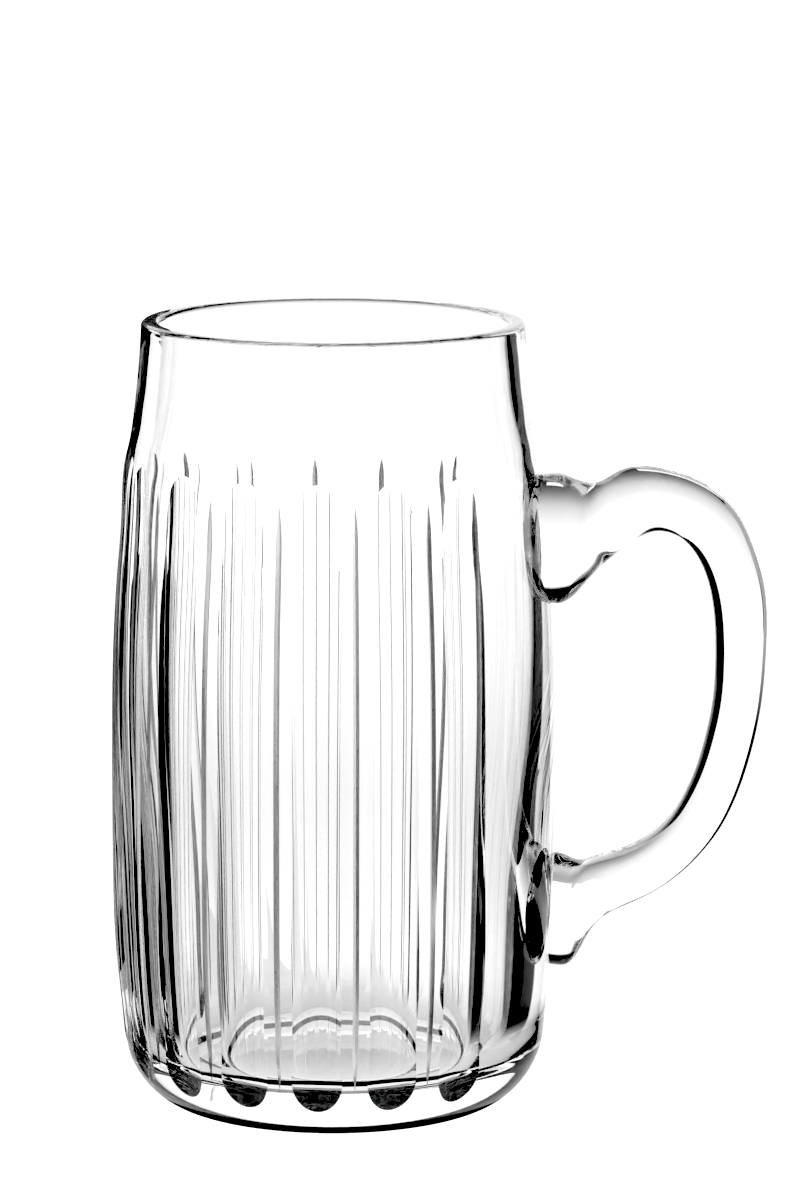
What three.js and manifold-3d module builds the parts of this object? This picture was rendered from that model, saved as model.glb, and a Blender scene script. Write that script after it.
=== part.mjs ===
// Cut-glass beer mug: a blown barrel with a heavy solid base, fluted by cutting,
// and one applied glass handle fused on at an upper and a lower pad.
// Millimetres, +Z up. The origin is the centre of the resting face, the handle
// points along +X.

import * as THREE from 'three';
import { mergeVertices } from 'three/addons/utils/BufferGeometryUtils.js';
import Module from 'manifold-3d';

// ---------------------------------------------------------------- dimensions

const HEIGHT = 155.7;            // resting face to ground rim
const LATHE_SEGMENTS = 36;       // facets round the barrel
const LATHE_START = 5;           // degrees, so that each cut lies in the middle of a facet
const FACET = 1 / Math.cos(Math.PI / LATHE_SEGMENTS); // the middle of a facet lies on the true radius
const JOINT_GAP = 0.3;           // clearance between barrel and handle glass

const RIM_OUTER = 37.65;         // outer radius at the rim
const RIM_INNER = 34.0;          // inner radius at the rim
const RIM_BEVEL = 0.6;           // ground bevel on the outer edge of the rim
const RIM_ARRIS = 0.3;           // broken edge on the inner side of the rim

const FOOT_RADIUS = 30.6;        // flat resting face
const CORNER_REACH = 11.6;       // bottom corner: how far it swells outwards
const CORNER_RISE = 15.4;        // bottom corner: how far it rises
const CORNER_STEPS = 5;
const FLOOR_Z = 9.6;             // inside floor, so the base is this thick

// outside of the barrel above the bottom corner: [radius, z]
const OUTER = [
  [43.30, 27.0], [43.95, 40.5], [44.03, 66.0], [43.50, 93.4], [42.70, 106.0],
  [41.85, 116.0], [41.50, 124.0], [41.05, 127.7], [40.15, 131.5], [38.85, 140.2],
];
// inside of the barrel from the floor up: [radius, z]
const INNER = [
  [27.0, 9.65], [30.5, 10.0], [32.8, 11.3], [34.4, 14.2], [35.3, 19.2], [35.9, 26.0], [36.4, 33.6], [37.5, 50.0],
  [39.4, 74.0], [39.85, 90.0], [39.3, 109.0], [37.8, 126.0], [35.4, 138.0],
];

// flutes: upright concave cuts with round ends, round the whole barrel except
// for a plain panel behind the handle. Angles are measured from -Y towards +X.
const FLUTE_PITCH = 20;          // degrees
const FLUTE_FIRST = 40;          // degrees, the one next to the plain panel
const FLUTE_COUNT = 14;
const FLUTE_SECTION_RADIUS = 12.5; // radius of the cutting wheel's round edge
const FLUTE_SECTION_SIDES = 32;
// bottom line of a flute: [radius, z]
const FLUTE_LINE = [
  [38.8, 1.0], [39.9, 6.7], [40.75, 13.5], [42.2, 29.0], [42.87, 55.0],
  [42.8, 80.0], [42.2, 96.0], [40.8, 118.8], [40.7, 129.2], [41.2, 134.0],
];

// mitre lines: fine V cuts, one between each two flutes
const MITRE_HALF_WIDTH = 0.5;
const MITRE_DEPTH = 0.5;
const MITRE_BOTTOM = 10.8;
const MITRE_TOP = 126.0;

// handle: sections from the upper pad round the loop to the lower pad, each as
// [outer x, outer z, inner x, inner z, half width across]
const HANDLE = [
  [38.5, 124.6, 38.7, 101.6, 11.6],
  [41.9, 125.7, 42.1, 100.6, 12.2],
  [44.3, 125.9, 44.5, 99.9, 12.0],
  [47.2, 124.9, 47.4, 100.9, 11.0],
  [49.2, 124.2, 49.4, 103.1, 9.9],
  [50.8, 123.8, 50.9, 105.7, 9.7],
  [53.1, 124.6, 53.3, 108.1, 9.2],
  [55.8, 126.5, 55.8, 110.3, 8.6],
  [59.5, 127.6, 58.7, 112.6, 7.9],
  [63.4, 127.3, 61.8, 114.5, 7.0],
  [68.9, 126.0, 64.9, 114.9, 6.3],
  [74.4, 123.3, 68.1, 113.8, 5.9],
  [79.1, 119.0, 70.5, 111.5, 5.7],
  [82.4, 112.3, 72.7, 107.8, 5.6],
  [84.7, 105.0, 74.3, 102.6, 5.5],
  [85.5, 96.2, 75.2, 95.3, 5.4],
  [85.3, 88.8, 75.3, 88.2, 5.4],
  [84.7, 81.2, 74.9, 81.2, 5.4],
  [83.2, 72.8, 73.6, 74.2, 5.4],
  [81.0, 64.8, 71.9, 67.9, 5.4],
  [77.8, 57.0, 69.3, 61.6, 5.4],
  [75.2, 52.8, 66.9, 57.4, 5.4],
  [71.8, 48.7, 63.7, 54.0, 5.5],
  [67.3, 44.6, 59.7, 51.3, 5.7],
  [61.0, 40.7, 55.6, 49.7, 6.1],
  [55.0, 38.0, 52.0, 48.7, 6.7],
  [52.0, 35.6, 49.9, 48.2, 7.3],
  [50.0, 31.9, 48.5, 48.1, 7.8],
  [48.6, 28.6, 47.3, 48.6, 8.2],
  [46.4, 26.5, 45.9, 49.3, 8.5],
  [43.4, 27.3, 43.3, 49.9, 8.5],
  [39.0, 29.5, 39.0, 48.5, 8.0],
];
const HANDLE_SIDES = 16;

// ----------------------------------------------------------------- materials

const clearGlass = (name) => new THREE.MeshStandardMaterial({
  name, color: 0xf4f7f7, roughness: 0.04, metalness: 0.0, transparent: true, opacity: 0.35,
});

// ------------------------------------------------------------------- helpers

const wasm = await Module();
wasm.setup();

const DEG = Math.PI / 180;

// closed solid from three.js geometry, with shared vertices merged and the
// faces pointing outwards
function solid(geometry) {
  let g = geometry.clone();
  for (const name of Object.keys(g.attributes)) if (name !== 'position') g.deleteAttribute(name);
  g = mergeVertices(g, 1e-4);
  const position = g.attributes.position;
  const keep = [];
  const index = g.index.array;
  for (let i = 0; i < index.length; i += 3) {
    const a = index[i], b = index[i + 1], c = index[i + 2];
    if (a !== b && b !== c && c !== a) keep.push(a, b, c);
  }
  let volume = 0;
  const A = new THREE.Vector3(), B = new THREE.Vector3(), C = new THREE.Vector3();
  for (let i = 0; i < keep.length; i += 3) {
    A.fromBufferAttribute(position, keep[i]);
    B.fromBufferAttribute(position, keep[i + 1]);
    C.fromBufferAttribute(position, keep[i + 2]);
    volume += A.dot(B.cross(C));
  }
  if (volume < 0) for (let i = 0; i < keep.length; i += 3) [keep[i], keep[i + 1]] = [keep[i + 1], keep[i]];
  return new wasm.Manifold(new wasm.Mesh({
    numProp: 3,
    vertProperties: new Float32Array(position.array),
    triVerts: new Uint32Array(keep),
  }));
}

function geometryOf(manifold) {
  const mesh = manifold.getMesh();
  const g = new THREE.BufferGeometry();
  g.setAttribute('position', new THREE.BufferAttribute(new Float32Array(mesh.vertProperties), 3));
  g.setIndex(new THREE.BufferAttribute(new Uint32Array(mesh.triVerts), 1));
  g.computeVertexNormals();
  return g;
}

// turned solid about +Z from [radius, z] points that start and end on the axis
function turned(points) {
  const g = new THREE.LatheGeometry(
    points.map(([r, z]) => new THREE.Vector2(r * FACET, z)), LATHE_SEGMENTS, LATHE_START * DEG, 2 * Math.PI);
  g.rotateX(Math.PI / 2);
  return solid(g);
}

// tube of varying section: a cylinder whose rings are laid on given sections
function lofted(sections, sides) {
  const steps = sections.length - 1;
  const g = new THREE.CylinderGeometry(1, 1, steps, sides, steps, false);
  const p = g.attributes.position;
  const v = new THREE.Vector3();
  for (let i = 0; i < p.count; i++) {
    v.fromBufferAttribute(p, i);
    const section = sections[Math.round(v.y + steps / 2)];
    const q = section.centre.clone()
      .addScaledVector(section.across, v.x)
      .addScaledVector(section.up, v.z);
    p.setXYZ(i, q.x, q.y, q.z);
  }
  return solid(g);
}

// radius of a [radius, z] line at a height
function radiusAt(line, z) {
  for (let i = 1; i < line.length; i++) {
    const [r0, z0] = line[i - 1], [r1, z1] = line[i];
    if (z <= z1 || i === line.length - 1) return r0 + (r1 - r0) * (z - z0) / (z1 - z0);
  }
  return line[0][0];
}

// ------------------------------------------------------------------ mug body

const corner = [];
for (let i = 0; i <= CORNER_STEPS; i++) {
  const t = (i / CORNER_STEPS) * Math.PI / 2;
  corner.push([
    FOOT_RADIUS + CORNER_REACH * Math.sin(t) ** 1.06,
    CORNER_RISE * (1 - Math.cos(t) ** 1.06),
  ]);
}
const outside = [...corner, ...OUTER, [RIM_OUTER, HEIGHT - RIM_BEVEL]];

const barrel = turned([
  [0, 0],
  ...outside,
  [RIM_OUTER - RIM_BEVEL, HEIGHT],
  [RIM_INNER + RIM_ARRIS, HEIGHT],
  [RIM_INNER, HEIGHT - RIM_ARRIS],
  ...[...INNER].reverse(),
  [0, FLOOR_Z],
]);

// direction from the axis at an angle measured from -Y towards +X
const ray = (degrees) => new THREE.Vector3(Math.sin(degrees * DEG), -Math.cos(degrees * DEG), 0);
const tangent = (degrees) => new THREE.Vector3(Math.cos(degrees * DEG), Math.sin(degrees * DEG), 0);

let cut = barrel;
for (let k = 0; k < FLUTE_COUNT; k++) {
  const angle = FLUTE_FIRST - FLUTE_PITCH * k;
  const sections = FLUTE_LINE.map(([r, z]) => ({
    centre: ray(angle).multiplyScalar(r + FLUTE_SECTION_RADIUS).setZ(z),
    across: tangent(angle).multiplyScalar(FLUTE_SECTION_RADIUS),
    up: ray(angle).multiplyScalar(FLUTE_SECTION_RADIUS),
  }));
  cut = cut.subtract(lofted(sections, FLUTE_SECTION_SIDES));
}

const MITRE_STEPS = 7;
for (let k = 0; k < FLUTE_COUNT - 1; k++) {
  const angle = FLUTE_FIRST - FLUTE_PITCH * (k + 0.5);
  const sections = [];
  for (let i = 0; i <= MITRE_STEPS; i++) {
    const s = i / MITRE_STEPS;
    const z = MITRE_BOTTOM + (MITRE_TOP - MITRE_BOTTOM) * s;
    const taper = Math.min(1, Math.sin(s * Math.PI) * 3.2);
    const scale = Math.max(0.15, taper);
    sections.push({
      centre: ray(angle).multiplyScalar(radiusAt(outside, z) + 0.04 + 0.25 * (1 - taper)).setZ(z),
      across: tangent(angle).multiplyScalar(MITRE_HALF_WIDTH * scale),
      up: ray(angle).multiplyScalar(MITRE_DEPTH * scale),
    });
  }
  cut = cut.subtract(lofted(sections, 4));
}

const body = new THREE.Mesh(geometryOf(cut), clearGlass('body_glass'));
body.name = 'mug_body';

// -------------------------------------------------------------------- handle

// the ends of the gob take the shape of the barrel wall that they are fused to
const wall = turned([
  [0, -5],
  [FOOT_RADIUS + JOINT_GAP, -5],
  ...outside.map(([r, z]) => [r + JOINT_GAP, z]),
  [0, HEIGHT],
]);

const handleSections = HANDLE.map(([xo, zo, xi, zi, half]) => ({
  centre: new THREE.Vector3((xo + xi) / 2, 0, (zo + zi) / 2),
  across: new THREE.Vector3(0, half, 0),
  up: new THREE.Vector3((xo - xi) / 2, 0, (zo - zi) / 2),
}));
const gob = lofted(handleSections, HANDLE_SIDES).subtract(wall);

const handle = new THREE.Mesh(geometryOf(gob), clearGlass('handle_glass'));
handle.name = 'handle';

// ------------------------------------------------------------------ assembly

const mug = new THREE.Group();
mug.name = 'beer_mug';
mug.add(body, handle);

export default mug;
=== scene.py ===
import bpy, math
import numpy as np
from mathutils import Matrix, Vector


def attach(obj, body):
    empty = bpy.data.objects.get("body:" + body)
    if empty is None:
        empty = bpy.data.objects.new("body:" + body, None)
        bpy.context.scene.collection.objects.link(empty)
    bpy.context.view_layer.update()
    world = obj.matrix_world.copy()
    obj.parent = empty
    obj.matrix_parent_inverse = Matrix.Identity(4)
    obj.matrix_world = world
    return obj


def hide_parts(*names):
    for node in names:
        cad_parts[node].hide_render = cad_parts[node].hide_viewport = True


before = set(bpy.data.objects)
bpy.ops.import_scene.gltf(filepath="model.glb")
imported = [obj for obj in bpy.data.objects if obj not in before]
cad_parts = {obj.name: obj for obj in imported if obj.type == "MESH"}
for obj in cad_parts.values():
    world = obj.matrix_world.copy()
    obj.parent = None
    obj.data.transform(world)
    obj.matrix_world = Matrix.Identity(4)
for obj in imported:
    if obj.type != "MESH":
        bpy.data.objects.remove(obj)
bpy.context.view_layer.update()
SC = bpy.context.scene
MM = 0.001

# ---------------------------------------------------------------- dimensions (mm)

HEIGHT = 155.7
RIM_OUTER, RIM_INNER = 37.65, 34.0
RIM_DROP = 1.5                    # height of the rounded part of the rim
FOOT_RADIUS, CORNER_REACH, CORNER_RISE = 30.6, 11.6, 15.4
AROUND = 432                      # facets round the barrel

# outside above the bottom corner: radius, z
OUTER = [(43.30, 27.0), (43.95, 40.5), (44.02, 58.0), (43.98, 75.0), (43.50, 93.4),
         (42.70, 106.0), (41.95, 114.5), (41.68, 120.0), (41.48, 124.0), (41.05, 127.7),
         (40.15, 131.5), (39.45, 135.4), (38.85, 140.2), (38.15, 147.0)]
# inside from the floor up: radius, z
INNER = [(0.0, 9.6), (12.0, 9.6), (21.0, 9.6), (27.0, 9.65), (30.5, 10.0), (32.8, 11.3), (34.4, 14.2),
         (35.3, 19.2), (35.9, 26.0), (36.4, 33.6), (36.85, 41.0), (37.5, 50.0), (38.5, 62.0), (39.4, 74.0),
         (39.8, 86.0), (39.75, 98.0), (39.3, 109.0), (38.5, 119.5), (37.7, 127.0),
         (36.6, 132.5), (35.4, 138.0), (34.6, 144.5), (34.1, 151.0)]

FLUTE_PITCH, FLUTE_FIRST, FLUTE_COUNT = 20.0, 40.0, 14
FLUTE_RADIUS = 12.5
FLUTE_LINE = [(39.0, 2.0), (39.9, 6.7), (40.75, 13.5), (41.5, 20.0), (42.2, 29.0), (42.8, 44.0),
              (42.92, 62.0), (42.8, 80.0), (42.2, 96.0), (41.33, 109.0), (40.8, 119.0),
              (40.72, 124.5), (40.70, 129.2), (41.2, 134.0)]
MITRE_HALF, MITRE_DEPTH = 0.58, 0.58
MITRE_BOTTOM, MITRE_TOP = 10.8, 126.0

# handle: outer x, z, inner x, z, half width across, squareness of the outer and of the inner side
HANDLE = [
    (43.6, 126.2, 43.8, 99.8, 11.9, 2.0, 2.0),
    (45.7, 125.6, 46.0, 100.3, 11.4, 2.0, 2.0),
    (47.4, 124.8, 47.7, 101.7, 10.8, 2.0, 2.0),
    (49.2, 124.1, 49.3, 103.7, 9.9, 2.0, 2.0),
    (50.9, 123.8, 50.8, 105.7, 9.7, 2.0, 2.0),
    (53.1, 124.6, 53.2, 108.1, 9.2, 2.0, 2.0),
    (55.8, 126.5, 55.8, 110.3, 8.6, 2.0, 2.0),
    (59.5, 127.6, 58.7, 112.6, 7.9, 2.0, 2.15),
    (63.4, 127.3, 61.8, 114.5, 7.0, 2.0, 2.4),
    (68.9, 126.0, 64.9, 114.9, 6.3, 2.0, 2.7),
    (74.4, 123.3, 68.1, 113.8, 5.9, 2.1, 2.8),
    (79.1, 119.0, 70.5, 111.5, 5.7, 2.25, 2.8),
    (82.4, 112.3, 72.7, 107.8, 5.6, 2.4, 2.75),
    (84.7, 105.0, 74.3, 102.6, 5.5, 2.5, 2.7),
    (85.5, 96.2, 75.2, 95.3, 5.4, 2.5, 2.6),
    (85.3, 88.8, 75.3, 88.2, 5.4, 2.5, 2.5),
    (84.7, 81.2, 74.9, 81.2, 5.4, 2.5, 2.5),
    (83.2, 72.8, 73.6, 74.2, 5.4, 2.3, 2.6),
    (81.0, 64.8, 71.9, 67.9, 5.4, 2.15, 2.8),
    (77.8, 57.0, 69.3, 61.6, 5.4, 2.1, 3.2),
    (75.2, 52.8, 66.9, 57.4, 5.4, 2.1, 3.8),
    (71.8, 48.7, 63.7, 54.0, 5.5, 2.15, 4.6),
    (67.3, 44.6, 59.7, 51.3, 5.7, 2.2, 5.0),
    (61.0, 40.7, 55.6, 49.7, 6.1, 2.2, 4.8),
    (55.0, 38.0, 52.0, 48.7, 6.7, 2.2, 3.8),
    (52.0, 35.6, 49.9, 48.0, 7.3, 2.2, 3.0),
    (50.0, 31.9, 48.6, 48.0, 7.9, 2.0, 2.4),
    (48.6, 28.4, 47.3, 48.5, 8.3, 2.0, 2.1),
    (46.6, 26.4, 45.9, 49.4, 8.5, 2.0, 2.0),
]
UPPER_ROOT = (113.0, 12.5, 11.9)   # centre z, half height, half width where it meets the barrel
LOWER_ROOT = (38.6, 11.2, 8.5)

# ------------------------------------------------------------------------ curves


def spline(x, y):
    """Natural cubic spline through the points, as a function."""
    x = np.asarray(x, float); y = np.asarray(y, float)
    n = len(x); h = np.diff(x)
    a = np.zeros((n, n)); b = np.zeros(y.shape)
    h = h.reshape(h.shape + (1,) * (y.ndim - 1)) if y.ndim > 1 else h
    a[0, 0] = a[-1, -1] = 1.0
    for i in range(1, n - 1):
        a[i, i - 1] = x[i] - x[i - 1]; a[i, i] = 2 * (x[i + 1] - x[i - 1]); a[i, i + 1] = x[i + 1] - x[i]
        b[i] = 3 * ((y[i + 1] - y[i]) / h[i] - (y[i] - y[i - 1]) / h[i - 1])
    c = np.linalg.solve(a, b)
    d = np.diff(c, axis=0) / (3 * h)
    e = np.diff(y, axis=0) / h - h * (2 * c[:-1] + c[1:]) / 3

    def at(q):
        q = np.asarray(q, float)
        i = np.clip(np.searchsorted(x, q) - 1, 0, n - 2)
        t = (q - x[i]).reshape(q.shape + (1,) * (y.ndim - 1))
        return y[i] + t * (e[i] + t * (c[i] + t * d[i]))
    return at


def through(points, step):
    """Points at an even step along a smooth curve through the given points."""
    p = np.asarray(points, float)
    s = np.r_[0, np.cumsum(np.linalg.norm(np.diff(p[:, :2], axis=0), axis=1))]
    f = [spline(s, p[:, k]) for k in range(p.shape[1])]
    n = max(2, int(round(s[-1] / step)))
    q = np.linspace(0, s[-1], n + 1)
    return np.stack([g(q) for g in f], 1)


corner = []
for i in range(0, 7):
    t = i / 6 * math.pi / 2
    corner.append((FOOT_RADIUS + CORNER_REACH * math.sin(t) ** 1.06, CORNER_RISE * (1 - math.cos(t) ** 1.06)))
outside = through(corner + OUTER + [(RIM_OUTER, HEIGHT - RIM_DROP)], 0.6)
outside[0, 1] = 0.0
inside = through(INNER + [(RIM_INNER, HEIGHT - RIM_DROP)], 0.6)
inside[0] = (0.0, INNER[0][1])
inside[:, 0] = np.maximum(inside[:, 0], 0.0)
outer_r = lambda z: np.interp(z, outside[:, 1], outside[:, 0])
flute_r = spline([p[1] for p in FLUTE_LINE], [p[0] for p in FLUTE_LINE])

# ------------------------------------------------------------------------ meshes
# A mesh is kept as vertices (mm), the vertex of each face corner, the corners of each face, and a material index per face.


def mesh_object(name, mesh, materials):
    """New object from such a mesh."""
    verts, corners, count, index = mesh
    me = bpy.data.meshes.new(name)
    me.vertices.add(len(verts))
    me.vertices.foreach_set("co", (np.asarray(verts) * MM).astype(np.float32).ravel())
    me.loops.add(len(corners))
    me.loops.foreach_set("vertex_index", np.asarray(corners, np.int32))
    me.polygons.add(len(count))
    me.polygons.foreach_set("loop_start", np.r_[0, np.cumsum(count)[:-1]].astype(np.int32))
    for m in materials:
        me.materials.append(m)
    me.polygons.foreach_set("material_index", np.asarray(index, np.int32))
    me.update(calc_edges=True)
    me.validate()
    ob = bpy.data.objects.new(name, me)
    SC.collection.objects.link(ob)
    return ob


def from_parts(verts, quads, tris, quad_index, tri_index):
    """Mesh from quads and triangles, turned over if the solid is inside out."""
    verts = np.asarray(verts, float)
    t = np.concatenate([tris, quads[:, [0, 1, 2]], quads[:, [0, 2, 3]]])
    p, q, r = verts[t[:, 0]], verts[t[:, 1]], verts[t[:, 2]]
    if np.einsum("ij,ij->", p, np.cross(q, r)) < 0:
        quads, tris = quads[:, ::-1], tris[:, ::-1]
    return (verts, np.r_[quads.ravel(), tris.ravel()], np.r_[np.full(len(quads), 4), np.full(len(tris), 3)],
            np.r_[quad_index, tri_index])


def turned(profile, around, index):
    """Closed solid turned about Z from radius, z points that start and end on the axis. index has a material for each stretch."""
    profile = np.asarray(profile, float)
    ang = np.arange(around) / around * 2 * math.pi
    ring = np.stack([np.sin(ang), -np.cos(ang)], 1)
    mid = profile[1:-1]
    n = len(mid)
    grid = np.concatenate([ring[None] * mid[:, None, :1], np.repeat(mid[:, None, 1:], around, 1)], 2).reshape(-1, 3)
    verts = np.concatenate([grid, [[0, 0, profile[0, 1]], [0, 0, profile[-1, 1]]]])
    j = np.arange(around); k = (j + 1) % around
    i = np.arange(n - 1)[:, None] * around
    quads = np.stack([i + j, i + k, i + around + k, i + around + j], 2).reshape(-1, 4)
    low = np.stack([np.full(around, n * around), k, j], 1)
    top = np.stack([np.full(around, n * around + 1), (n - 1) * around + j, (n - 1) * around + k], 1)
    return from_parts(verts, quads, np.concatenate([low, top]), np.repeat(index[1:-1], around),
                      np.r_[np.full(around, index[0]), np.full(around, index[-1])])


def rings(sections, material):
    """Closed tube from rings of equally many points."""
    sections = np.asarray(sections)
    n, m = sections.shape[:2]
    verts = np.concatenate([sections.reshape(-1, 3), [sections[0].mean(0)], [sections[-1].mean(0)]])
    j = np.arange(m); k = (j + 1) % m
    i = np.arange(n - 1)[:, None] * m
    quads = np.stack([i + j, i + k, i + m + k, i + m + j], 2).reshape(-1, 4)
    first = np.stack([np.full(m, n * m), k, j], 1)
    last = np.stack([np.full(m, n * m + 1), (n - 1) * m + j, (n - 1) * m + k], 1)
    return from_parts(verts, quads, np.concatenate([first, last]), np.full(len(quads), material), np.full(2 * m, material))


def joined(parts):
    """Several meshes as one."""
    base = np.cumsum([0] + [len(p[0]) for p in parts])
    return (np.concatenate([p[0] for p in parts]), np.concatenate([p[1] + o for p, o in zip(parts, base)]),
            np.concatenate([p[2] for p in parts]), np.concatenate([p[3] for p in parts]))


def boolean(a, b, operation):
    """Mesh of a cut or joined with b. Faces keep the material index of the solid that they come from."""
    mod = a.modifiers.new("cut", "BOOLEAN")
    mod.object = b; mod.operation = operation
    mod.solver = "MANIFOLD"
    dg = bpy.context.evaluated_depsgraph_get()
    me = bpy.data.meshes.new_from_object(a.evaluated_get(dg))
    a.modifiers.remove(mod)
    return me


def arrays(me):
    """Such a mesh from Blender's."""
    v = np.empty(len(me.vertices) * 3, np.float32); me.vertices.foreach_get("co", v)
    mi = np.empty(len(me.polygons), np.int32); me.polygons.foreach_get("material_index", mi)
    corners = np.empty(len(me.loops), np.int32); me.loops.foreach_get("vertex_index", corners)
    count = np.empty(len(me.polygons), np.int32); me.polygons.foreach_get("loop_total", count)
    return v.reshape(-1, 3).astype(float) / MM, corners, count, mi


def picked(mesh, keep):
    """Only the faces that keep says."""
    verts, corners, count, index = mesh
    return verts, corners[np.repeat(keep, count)], count[keep], index[keep]


def welded(mesh, tol=2e-4):
    """Vertices closer than tol (mm) made one, unused ones and collapsed faces dropped."""
    verts, corners, count, index = mesh
    used = np.unique(corners)
    key = np.round(verts[used] / tol).astype(np.int64)
    _, first, inv = np.unique(key, axis=0, return_index=True, return_inverse=True)
    new = np.empty(len(verts), np.int64); new[used] = inv.reshape(-1)
    corners = new[corners]
    start = np.r_[0, np.cumsum(count)[:-1]]
    before = np.arange(len(corners)) - 1
    before[start] = start + count - 1
    stay = corners != corners[before]
    face = np.repeat(np.arange(len(count)), count)
    n = np.bincount(face[stay], minlength=len(count))
    good = n >= 3
    stay &= good[face]
    return verts[used][first], corners[stay], n[good], index[good]


def finish_mesh(ob, degrees):
    """Smooth shading with sharp edges where faces meet at more than the angle."""
    me = ob.data
    me.polygons.foreach_set("use_smooth", np.ones(len(me.polygons), bool))
    me.set_sharp_from_angle(angle=math.radians(degrees))
    me.update()


# --------------------------------------------------------------------- materials


def glass(name, roughness, wave, wave_scale, grain=0.0, grain_scale=1.0, rough_spread=0.0):
    """Clear glass with the slight waviness of hand-worked glass, and ground grain where it is cut and left matt."""
    m = bpy.data.materials.new(name)
    m.use_nodes = True
    nt = m.node_tree; nt.nodes.clear()
    out = nt.nodes.new("ShaderNodeOutputMaterial")
    b = nt.nodes.new("ShaderNodeBsdfPrincipled")
    b.inputs["Base Color"].default_value = (1.0, 1.0, 1.0, 1.0)
    b.inputs["Roughness"].default_value = roughness
    b.inputs["IOR"].default_value = 1.52
    b.inputs["Transmission Weight"].default_value = 1.0
    nt.links.new(b.outputs[0], out.inputs["Surface"])
    tc = nt.nodes.new("ShaderNodeTexCoord")
    if rough_spread:
        n2 = nt.nodes.new("ShaderNodeTexNoise")
        n2.inputs["Scale"].default_value = grain_scale
        n2.inputs["Detail"].default_value = 3.0
        nt.links.new(tc.outputs["Object"], n2.inputs["Vector"])
        mr = nt.nodes.new("ShaderNodeMapRange")
        mr.inputs["From Min"].default_value = 0.3
        mr.inputs["From Max"].default_value = 0.7
        mr.inputs["To Min"].default_value = roughness - rough_spread
        mr.inputs["To Max"].default_value = roughness + rough_spread
        nt.links.new(n2.outputs["Fac"], mr.inputs["Value"])
        nt.links.new(mr.outputs["Result"], b.inputs["Roughness"])
    n1 = nt.nodes.new("ShaderNodeTexNoise")
    n1.inputs["Scale"].default_value = wave_scale
    n1.inputs["Detail"].default_value = 1.0
    nt.links.new(tc.outputs["Object"], n1.inputs["Vector"])
    bump = nt.nodes.new("ShaderNodeBump")
    bump.inputs["Strength"].default_value = 1.0
    bump.inputs["Distance"].default_value = wave
    nt.links.new(n1.outputs["Fac"], bump.inputs["Height"])
    normal = bump.outputs["Normal"]
    if grain:
        n3 = nt.nodes.new("ShaderNodeTexNoise")
        n3.inputs["Scale"].default_value = grain_scale
        n3.inputs["Detail"].default_value = 4.0
        nt.links.new(tc.outputs["Object"], n3.inputs["Vector"])
        bump2 = nt.nodes.new("ShaderNodeBump")
        bump2.inputs["Strength"].default_value = 1.0
        bump2.inputs["Distance"].default_value = grain
        nt.links.new(n3.outputs["Fac"], bump2.inputs["Height"])
        nt.links.new(normal, bump2.inputs["Normal"])
        normal = bump2.outputs["Normal"]
    nt.links.new(normal, b.inputs["Normal"])
    return m


def fused(name):
    """Where the handle's glass runs into the barrel's: no surface is left between the two."""
    m = bpy.data.materials.new(name)
    m.use_nodes = True
    nt = m.node_tree; nt.nodes.clear()
    out = nt.nodes.new("ShaderNodeOutputMaterial")
    t = nt.nodes.new("ShaderNodeBsdfTransparent")
    nt.links.new(t.outputs[0], out.inputs["Surface"])
    return m


GLASS_BODY = glass("glass_blown", 0.0, 2.5e-6, 55.0)
GLASS_CUT = glass("glass_cut_polished", 0.0, 5e-7, 60.0)
GLASS_MITRE = glass("glass_cut_matt", 0.35, 4e-6, 120.0, 4e-6, 2200.0, 0.08)
GLASS_RIM = glass("glass_polished_rim", 0.03, 6e-6, 90.0, 1e-6, 1500.0, 0.015)
GLASS_HANDLE = glass("glass_drawn", 0.0, 7e-6, 40.0)
FUSED = fused("glass_fused_joint")
SLOTS = [GLASS_BODY, GLASS_CUT, GLASS_MITRE, GLASS_RIM, FUSED, GLASS_HANDLE]
POLISHED, CUT, MATT, RIM, JOINT, DRAWN = range(6)

# ---------------------------------------------------------------------- mug body

foot = [(r, 0.0) for r in (0.0, 8.0, 16.0, 23.0, 27.5)]
# polished flat on top, both edges rounded
rim = [(RIM_OUTER - 1.25 * (1 - math.cos(t)), HEIGHT - 0.95 * (1 - math.sin(t))) for t in np.radians(np.arange(0, 91, 7.5))]
rim += [(RIM_OUTER - 1.5, HEIGHT), (RIM_INNER + 1.15, HEIGHT)]
rim += [(RIM_INNER + 1.15 * (1 - math.sin(t)), HEIGHT - 1.15 * (1 - math.cos(t))) for t in np.radians(np.arange(7.5, 90, 7.5))]
profile = np.concatenate([foot, outside, rim, inside[::-1]])
stretch = np.full(len(profile) - 1, POLISHED)
first_rim = len(foot) + len(outside) - 1
stretch[first_rim:first_rim + len(rim) + 1] = RIM
blank = mesh_object("blank", turned(profile, AROUND, stretch), SLOTS)

UP = np.array([0.0, 0.0, 1.0])


def ray(deg):
    return np.array([math.sin(math.radians(deg)), -math.cos(math.radians(deg)), 0.0])


def tangent(deg):
    return np.array([math.cos(math.radians(deg)), math.sin(math.radians(deg)), 0.0])


cuts = []
levels = np.concatenate([np.linspace(2.0, 16.0, 24), np.linspace(17.0, 114.0, 74), np.linspace(115.0, 134.0, 30)])
arc = np.radians(np.linspace(-33, 33, 27))
across = np.r_[FLUTE_RADIUS * np.sin(arc), FLUTE_RADIUS * math.sin(arc[-1]), -FLUTE_RADIUS * math.sin(arc[-1])]
outwards = np.r_[FLUTE_RADIUS * (1 - np.cos(arc)), 7.0, 7.0]
for k in range(FLUTE_COUNT):
    deg = FLUTE_FIRST - FLUTE_PITCH * k
    base = flute_r(levels)
    sections = (across[None, :, None] * tangent(deg) + (base[:, None] + outwards[None])[..., None] * ray(deg)
                + levels[:, None, None] * UP)
    cuts.append(rings(sections, CUT))

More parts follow.
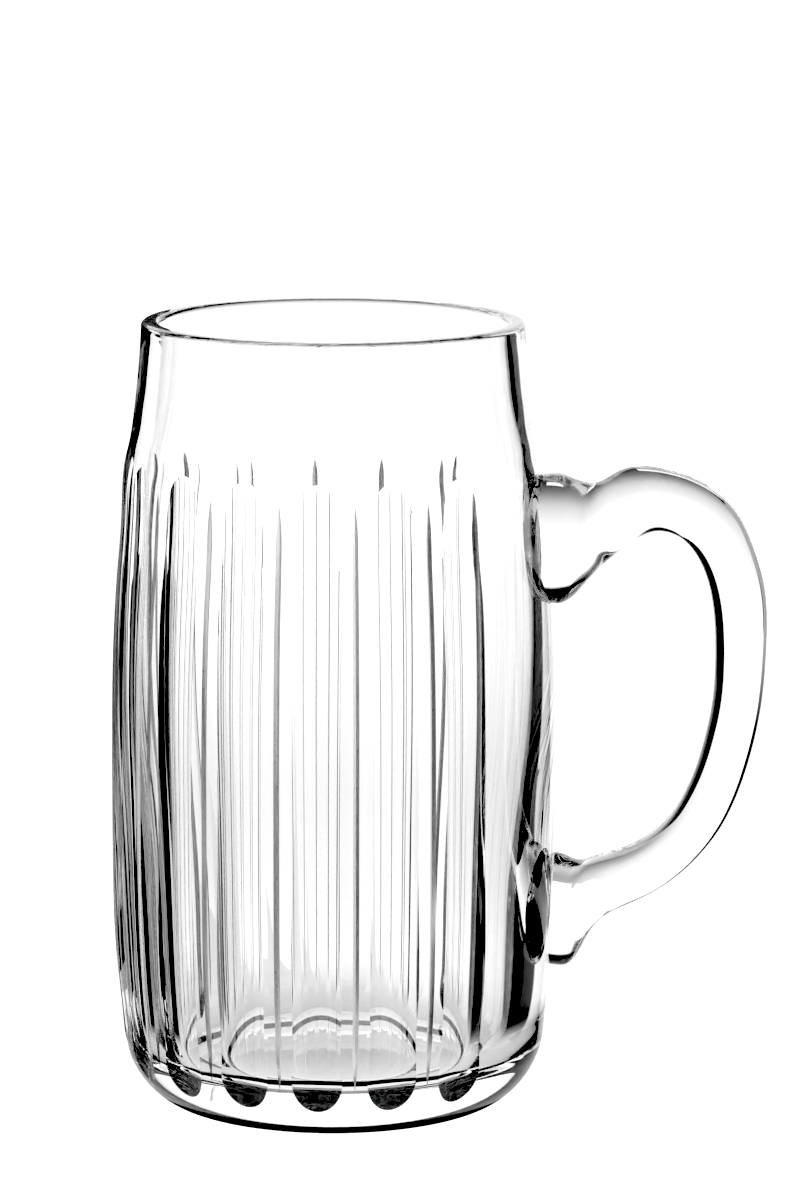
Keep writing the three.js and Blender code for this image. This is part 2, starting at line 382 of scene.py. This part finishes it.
span = np.linspace(0.0, 1.0, 90)
mitre_z = MITRE_BOTTOM + (MITRE_TOP - MITRE_BOTTOM) * span
mitre_lift = MITRE_DEPTH * 1.15 * np.maximum(0.0, 1 - np.minimum(span, 1 - span) * (MITRE_TOP - MITRE_BOTTOM) / 9.0) ** 2
for k in range(FLUTE_COUNT - 1):
    deg = FLUTE_FIRST - FLUTE_PITCH * (k + 0.5)
    c = (outer_r(mitre_z) + mitre_lift)[:, None] * ray(deg) + mitre_z[:, None] * UP
    side = tangent(deg) * MITRE_HALF * 2
    lift = ray(deg) * MITRE_DEPTH
    cuts.append(rings(np.stack([c - lift, c + side + lift, c - side + lift], 1), MATT))

cutters = mesh_object("cutters", joined(cuts), SLOTS)
cut_body = boolean(blank, cutters, "DIFFERENCE")

# ------------------------------------------------------------------------ handle

SIDES = 96
phi = np.arange(SIDES) / SIDES * 2 * math.pi


def section(xo, zo, xi, zi, half, outer, inner):
    """Section between an outer and an inner point, an oval that may be squarer on either side."""
    c = np.array([(xo + xi) / 2, 0, (zo + zi) / 2]); u = np.array([(xo - xi) / 2, 0, (zo - zi) / 2])
    cos, sin = np.cos(phi), np.sin(phi)
    power = np.where(cos < 0, 2 / inner, 2 / outer)
    return (c + np.outer(np.sign(cos) * np.abs(cos) ** power, u)
            + np.outer(np.sign(sin) * np.abs(sin) ** power, [0, half, 0]))


def root(z0, high, half, depth, up):
    """Ring inside the barrel wall that an end of the handle starts from."""
    z = z0 + high * np.cos(phi) * up
    y = half * np.sin(phi)
    x = np.sqrt((outer_r(z) - depth) ** 2 - y ** 2)
    return np.stack([x, y, z], 1)


controls = np.array([root(*UPPER_ROOT, 1.4, 1), root(*UPPER_ROOT, 0.5, 1)] + [section(*row) for row in HANDLE]
                    + [root(*LOWER_ROOT, 0.5, -1), root(*LOWER_ROOT, 1.6, -1)])
along = np.r_[0, np.cumsum(np.linalg.norm(np.diff(controls, axis=0), axis=2).mean(1))]
sections = spline(along, controls.reshape(len(controls), -1))(np.linspace(0, along[-1], int(along[-1] / 0.3)))
weights = np.array([1, 4, 6, 4, 1.0]); weights /= weights.sum()
for _ in range(30):
    inner = sum(w * sections[i:len(sections) - 4 + i] for i, w in enumerate(weights))
    sections[2:-2] = inner
gob = mesh_object("gob", rings(sections.reshape(len(sections), SIDES, 3), DRAWN), SLOTS)

# the barrel's surface inside the pads becomes the joint that both pieces share
whole = bpy.data.objects.new("whole", cut_body)
SC.collection.objects.link(whole)
rest = arrays(boolean(whole, gob, "DIFFERENCE"))
lap = arrays(boolean(whole, gob, "INTERSECT"))
drawn = arrays(boolean(gob, whole, "DIFFERENCE"))

rest = picked(rest, rest[3] != DRAWN)
lap = picked(lap, lap[3] != DRAWN)
lap[3][:] = JOINT
body = mesh_object("mug_body_glass", welded(joined([rest, lap])), SLOTS[:5])
drawn[3][:] = np.where(drawn[3] == DRAWN, 0, 1)
handle = mesh_object("handle_glass", welded(drawn), [GLASS_HANDLE, FUSED])

for ob in (blank, cutters, gob, whole):
    me = ob.data
    bpy.data.objects.remove(ob)
    if me.users == 0:
        bpy.data.meshes.remove(me)
finish_mesh(body, 7.0)
finish_mesh(handle, 35.0)

for ob, node, slot in ((body, "mug_body", "body_glass"), (handle, "handle", "handle_glass")):
    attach(ob, "root")
    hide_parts(node)

# ------------------------------------------------------------------------- stage

VIEW_AZ = 4.4                     # the photograph's side of the mug, degrees
a = math.radians(VIEW_AZ)

me = bpy.data.meshes.new("floor")
s, z = 9.0, -0.0004
me.from_pydata([(-s, -s, z), (s, -s, z), (s, s, z), (-s, s, z)], [], [(0, 1, 2, 3)])
floor = bpy.data.objects.new("floor", me)
SC.collection.objects.link(floor)
m = bpy.data.materials.new("pale_floor")
m.use_nodes = True
b = m.node_tree.nodes["Principled BSDF"]
b.inputs["Base Color"].default_value = (0.86, 0.86, 0.86, 1)
b.inputs["Roughness"].default_value = 0.9
b.inputs["Emission Color"].default_value = (1, 1, 1, 1)
b.inputs["Emission Strength"].default_value = 1.1
me.materials.append(m)
floor.visible_transmission = False
floor.visible_glossy = False


def upright(x, back, z):
    """Corners of an upright card that faces the camera, mm to metres."""
    return [((q * math.cos(a) - back * math.sin(a)) * MM, (q * math.sin(a) + back * math.cos(a)) * MM, h * MM)
            for q, h in ((x[0], z[0]), (x[1], z[0]), (x[1], z[1]), (x[0], z[1]))]


# A bright field behind the glass with dark flags on both sides, a dark room above and in front, and a table that is lit
# from behind. The camera sees table and backdrop as plain white: both are overexposed.
# Directions are in degrees: sideways from the way the photograph looks, to the right, and up from level.
FIELD_LEFT, FIELD_RIGHT, FIELD_TOP = (-36.0, -32.5), (26.0, 29.0), (26.0, 33.0)
# the left flag stands further out above these heights, by so many degrees
LEFT_STEPS = [((-11.0, -8.2), 12.0), ((15.0, 19.0), 30.0)]
# soft panels that only other sides of the mug look at: left, right, low, high, strength
PANELS = [((-108, -100), (-78, -74), (-50, -40), (10, 25), 0.8), ((108, 116), (160, 168), (-50, -40), (2, 10), 0.8)]
# how bright the table is by how steeply it is looked at, and the lit pool round the foot, mm
SHADE = [(-90, 0.10), (-60, 0.13), (-53.5, 0.18), (-46.5, 0.28), (-41, 0.41), (-36.5, 0.56), (-32.5, 0.72), (-29, 0.82),
         (-25.5, 0.91), (-22, 0.98), (-18, 1.08), (-13, 1.28), (-9, 1.42), (30, 1.45)]
POOL = (48.0, 76.0)
POOL_LIGHT = [(0, 1.0), (30.6, 1.0), (36.0, 0.8), (76, 0.86)]
POOL_SHADOW = ((29.8, 30.6), (34.2, 35.2), 1.9)   # dark ring under the bottom corner: inner edge, outer edge, how far it is moved forward


class Nodes:
    """Small helper to write shader formulas."""

    def __init__(self, tree):
        self.tree = tree
        tree.nodes.clear()

    def node(self, kind, **kw):
        n = self.tree.nodes.new(kind)
        for k, val in kw.items():
            setattr(n, k, val)
        return n

    def put(self, value, socket):
        if isinstance(value, (int, float)):
            socket.default_value = value
        else:
            self.tree.links.new(value, socket)

    def math(self, op, *values):
        n = self.node("ShaderNodeMath", operation=op)
        for i, v in enumerate(values):
            self.put(v, n.inputs[i])
        return n.outputs[0]

    def rise(self, value, edge):
        n = self.node("ShaderNodeMapRange", interpolation_type="SMOOTHSTEP")
        self.put(value, n.inputs["Value"])
        n.inputs["From Min"].default_value, n.inputs["From Max"].default_value = edge
        return n.outputs["Result"]

    def fall(self, value, edge):
        return self.math("SUBTRACT", 1.0, self.rise(value, edge))

    def product(self, *values):
        out = values[0]
        for v in values[1:]:
            out = self.math("MULTIPLY", out, v)
        return out

    def curve(self, value, points, lo, hi, top):
        n = self.node("ShaderNodeFloatCurve")
        c = n.mapping.curves[0]
        while len(c.points) < len(points):
            c.points.new(0.5, 0.5)
        for point, (x, y) in zip(c.points, points):
            point.location = ((x - lo) / (hi - lo), y / top)
            point.handle_type = "VECTOR"
        n.mapping.update()
        self.put(self.math("DIVIDE", self.math("SUBTRACT", value, lo), hi - lo), n.inputs["Value"])
        return self.math("MULTIPLY", n.outputs[0], top)

    def grey(self, value):
        n = self.node("ShaderNodeCombineColor")
        for i in range(3):
            self.put(value, n.inputs[i])
        return n.outputs[0]


me = bpy.data.meshes.new("lit_pool")
t = np.arange(96) / 96 * 2 * math.pi
me.from_pydata([(POOL[1] * MM * math.sin(q), POOL[1] * MM * math.cos(q), -0.0005) for q in t], [], [tuple(range(96))])
pool = bpy.data.objects.new("lit_pool", me)
SC.collection.objects.link(pool)
m = bpy.data.materials.new("lit_pool")
m.use_nodes = True
N = Nodes(m.node_tree)
sep = N.node("ShaderNodeSeparateXYZ")
N.put(N.node("ShaderNodeTexCoord").outputs["Object"], sep.inputs[0])
def distance(forward):
    """Distance from a point that is moved towards the camera, mm."""
    y = N.math("ADD", sep.outputs["Y"], forward * MM)
    return N.math("MULTIPLY", N.math("SQRT", N.math("ADD", N.product(sep.outputs["X"], sep.outputs["X"]), N.product(y, y))), 1000.0)


far = distance(0.0)
shadow = N.product(N.rise(far, POOL_SHADOW[0]), N.fall(distance(POOL_SHADOW[2]), POOL_SHADOW[1]))
glow = N.node("ShaderNodeEmission")
N.put(N.grey(N.product(N.curve(far, POOL_LIGHT, 0.0, 76.0, 2.0), N.math("SUBTRACT", 1.0, shadow))), glow.inputs["Color"])
clear = N.node("ShaderNodeBsdfTransparent")
mix = N.node("ShaderNodeMixShader")
N.put(N.fall(far, POOL), mix.inputs[0])
N.put(clear.outputs[0], mix.inputs[1])
N.put(glow.outputs[0], mix.inputs[2])
N.put(mix.outputs[0], N.node("ShaderNodeOutputMaterial").inputs["Surface"])
me.materials.append(m)
pool.visible_camera = False
pool.visible_diffuse = False
pool.visible_shadow = False

# painted shade: black cards close behind the left side, glowing almost nothing: edge rays of the glass meet them, rays
# that cross the hollow don't.
# A strip behind the inside of the handle's loop, glowing grey above and black below, is painted light and shade that
# softens the outer edge of the bar, and a low white card glows as painted light to light the base.
# The top of the bright field is low as the base sees it: a far black card, painted shade, covers what rays through the
# hollow see above it.
loop = np.array([row[:4] for row in HANDLE if row[2] > 55.0 and 49.0 < row[3] < 112.0 and row[0] > 60.0])
inwards = (loop[:, 2:] - loop[:, :2]) / np.linalg.norm(loop[:, 2:] - loop[:, :2], axis=1)[:, None]
strip = np.concatenate([loop[:, 2:] + 12.0 * inwards, (loop[:, 2:] - 0.5 * inwards)[::-1]])
strip = [(x * MM, 0.011, z * MM) for x, z in strip.tolist()]
# A lit patch of the table behind on the left is what the mug is seen against from its front right.
patch = [(-0.651 * d + 0.759 * q, 0.759 * d + 0.651 * q) for d, q in ((34.0, -18.0), (440.0, -18.0), (440.0, 50.0), (34.0, 50.0))]
patch = [((x * math.cos(a) - y * math.sin(a)) * MM, (x * math.sin(a) + y * math.cos(a)) * MM, -0.0007) for x, y in patch]
for name, corners, strength, low, high in (("card_edge", upright((-56.0, -37.5), 30.0, (14.0, 148.0)), 0.004, 1.5, 3.5),
                                           ("card_inner", upright((-37.5, -33.0), 30.0, (14.0, 136.0)), 0.004, 1.5, 3.5),
                                           ("card_gloss", upright((-88.0, -33.0), 33.0, (14.0, 165.0)), 0.004, -0.5, 0.5),
                                           ("card_handle", strip, 0.55, 1.5, 2.5),
                                           ("card_base", upright((5.0, 46.0), 62.0, (0.0, 34.0)), 1.2, 1.5, 2.5),
                                           ("card_up", upright((-2400.0, 2400.0), 3000.0, (600.0, 2600.0)), 0.004, 3.5, 9.5),
                                           ("lit_patch", patch, 0.95, 1.5, 9.5)):
    me = bpy.data.meshes.new(name)
    me.from_pydata(corners, [], [tuple(range(len(corners)))])
    card = bpy.data.objects.new(name, me)
    SC.collection.objects.link(card)
    m = bpy.data.materials.new(name)
    m.use_nodes = True
    N = Nodes(m.node_tree)
    passes = N.node("ShaderNodeLightPath").outputs["Transmission Depth"]
    # the card's glow: painted shade for the black cards, painted light and shade for the grey strip, painted light for
    # the white card and the lit patch
    dark = N.node("ShaderNodeEmission")
    dark.inputs["Color"].default_value = (strength, strength, strength, 1)
    mix = N.node("ShaderNodeMixShader")
    if name == "card_handle":
        place = N.node("ShaderNodeSeparateXYZ")
        N.put(N.node("ShaderNodeTexCoord").outputs["Object"], place.inputs[0])
        N.put(N.grey(N.product(N.rise(place.outputs["Z"], (0.070, 0.092)), strength)), dark.inputs["Color"])
    N.put(N.product(N.math("GREATER_THAN", passes, low), N.math("LESS_THAN", passes, high)), mix.inputs[0])
    N.put(N.node("ShaderNodeBsdfTransparent").outputs[0], mix.inputs[1])
    N.put(dark.outputs[0], mix.inputs[2])
    N.put(mix.outputs[0], N.node("ShaderNodeOutputMaterial").inputs["Surface"])
    me.materials.append(m)
    card.visible_camera = False
    card.visible_diffuse = False
    card.visible_shadow = False

world = bpy.data.worlds.new("studio")
SC.world = world
world.use_nodes = True
N = Nodes(world.node_tree)
rot = N.node("ShaderNodeVectorRotate", rotation_type="Z_AXIS")
rot.inputs["Angle"].default_value = -a
N.put(N.node("ShaderNodeTexCoord").outputs["Generated"], rot.inputs["Vector"])
sep = N.node("ShaderNodeSeparateXYZ")
N.put(rot.outputs[0], sep.inputs[0])
az = N.math("MULTIPLY", N.math("ARCTAN2", sep.outputs["X"], sep.outputs["Y"]), 180 / math.pi)
el = N.math("MULTIPLY", N.math("ARCSINE", sep.outputs["Z"]), 180 / math.pi)
left_az = az
for edge, by in LEFT_STEPS:
    left_az = N.math("ADD", left_az, N.math("MULTIPLY", N.rise(el, edge), by))
light = N.product(N.rise(left_az, FIELD_LEFT), N.fall(az, FIELD_RIGHT), N.fall(el, FIELD_TOP), N.curve(el, SHADE, -90.0, 90.0, 2.0))
for left, right, low, high, strength in PANELS:
    panel = N.product(N.rise(az, left), N.fall(az, right), N.rise(el, low), N.fall(el, high), strength)
    light = N.math("MAXIMUM", light, panel)
studio = N.node("ShaderNodeBackground")
N.put(N.grey(light), studio.inputs["Color"])
backdrop = N.node("ShaderNodeBackground")
backdrop.inputs["Color"].default_value = (1, 1, 1, 1)
mix = N.node("ShaderNodeMixShader")
N.put(N.node("ShaderNodeLightPath").outputs["Is Camera Ray"], mix.inputs[0])
N.put(studio.outputs[0], mix.inputs[1])
N.put(backdrop.outputs[0], mix.inputs[2])
N.put(mix.outputs[0], N.node("ShaderNodeOutputWorld").inputs["Surface"])

# ------------------------------------------------------------------------ camera

BLACK_LEVEL = 0.1
CAM_DISTANCE, CAM_HEIGHT, CAM_PITCH, FOCAL_PX = 1.000, 0.279, 0.1775, 5144.0
AXIS_PX, WIDTH_PX, HEIGHT_PX = 333.7, 800.0, 1204.0
cam = bpy.data.cameras.new("camera")
cam.sensor_fit = "VERTICAL"
cam.sensor_height = 36.0
cam.lens = FOCAL_PX / HEIGHT_PX * 36.0
cam.clip_start, cam.clip_end = 0.05, 60.0
camera = bpy.data.objects.new("camera", cam)
SC.collection.objects.link(camera)
a = math.radians(VIEW_AZ)
turn = math.atan((WIDTH_PX / 2 - AXIS_PX) / FOCAL_PX)
camera.matrix_world = (Matrix.Translation((CAM_DISTANCE * math.sin(a), -CAM_DISTANCE * math.cos(a), CAM_HEIGHT))
                       @ Matrix.Rotation(a, 4, "Z") @ Matrix.Rotation(math.pi / 2 - CAM_PITCH, 4, "X")
                       @ Matrix.Rotation(-turn, 4, "Y"))
SC.camera = camera

SC.view_settings.view_transform = "Standard"
SC.view_settings.look = "None"
SC.view_settings.use_curve_mapping = True
levels_map = SC.view_settings.curve_mapping
levels_map.black_level = (BLACK_LEVEL,) * 3
levels_map.update()
SC.cycles.max_bounces = 40
SC.cycles.transmission_bounces = 40
SC.cycles.glossy_bounces = 40
SC.cycles.transparent_max_bounces = 40
SC.cycles.blur_glossy = 0.0
SC.cycles.caustics_refractive = True
SC.cycles.caustics_reflective = True
SC.cycles.use_denoising = True

bpy.context.view_layer.update()
